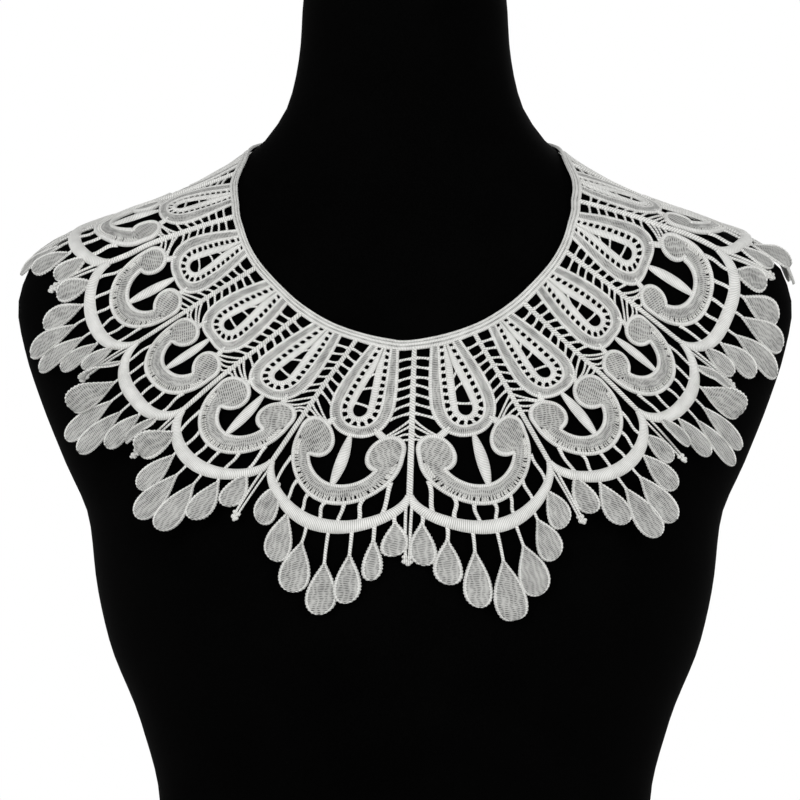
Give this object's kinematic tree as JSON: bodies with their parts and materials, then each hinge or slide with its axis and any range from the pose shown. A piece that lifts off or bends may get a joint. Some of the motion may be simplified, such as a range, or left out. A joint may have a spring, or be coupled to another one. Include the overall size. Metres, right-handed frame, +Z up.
{
  "type": "lace collar on a dress form",
  "caption": "Wide round white guipure lace collar with drop loops, open scrolls and hanging petals, worn by a plain black limbless dress form with a flat base.",
  "frame": {"origin": "middle of the dress form's flat base, on the surface it stands on", "axes": "+Z up, the collar's front faces -Y, +X toward the right of the picture"},
  "size_m": [0.3867, 0.2147, 0.49],
  "materials": {
    "black_form": "matte black covering",
    "white_lace": "raised cotton-like stitching with a faint satin sheen"
  },
  "bodies": {
    "root": {"dress_form": "black_form", "lace_collar_left": "white_lace", "lace_collar_right": "white_lace"}
  },
  "joints": []
}
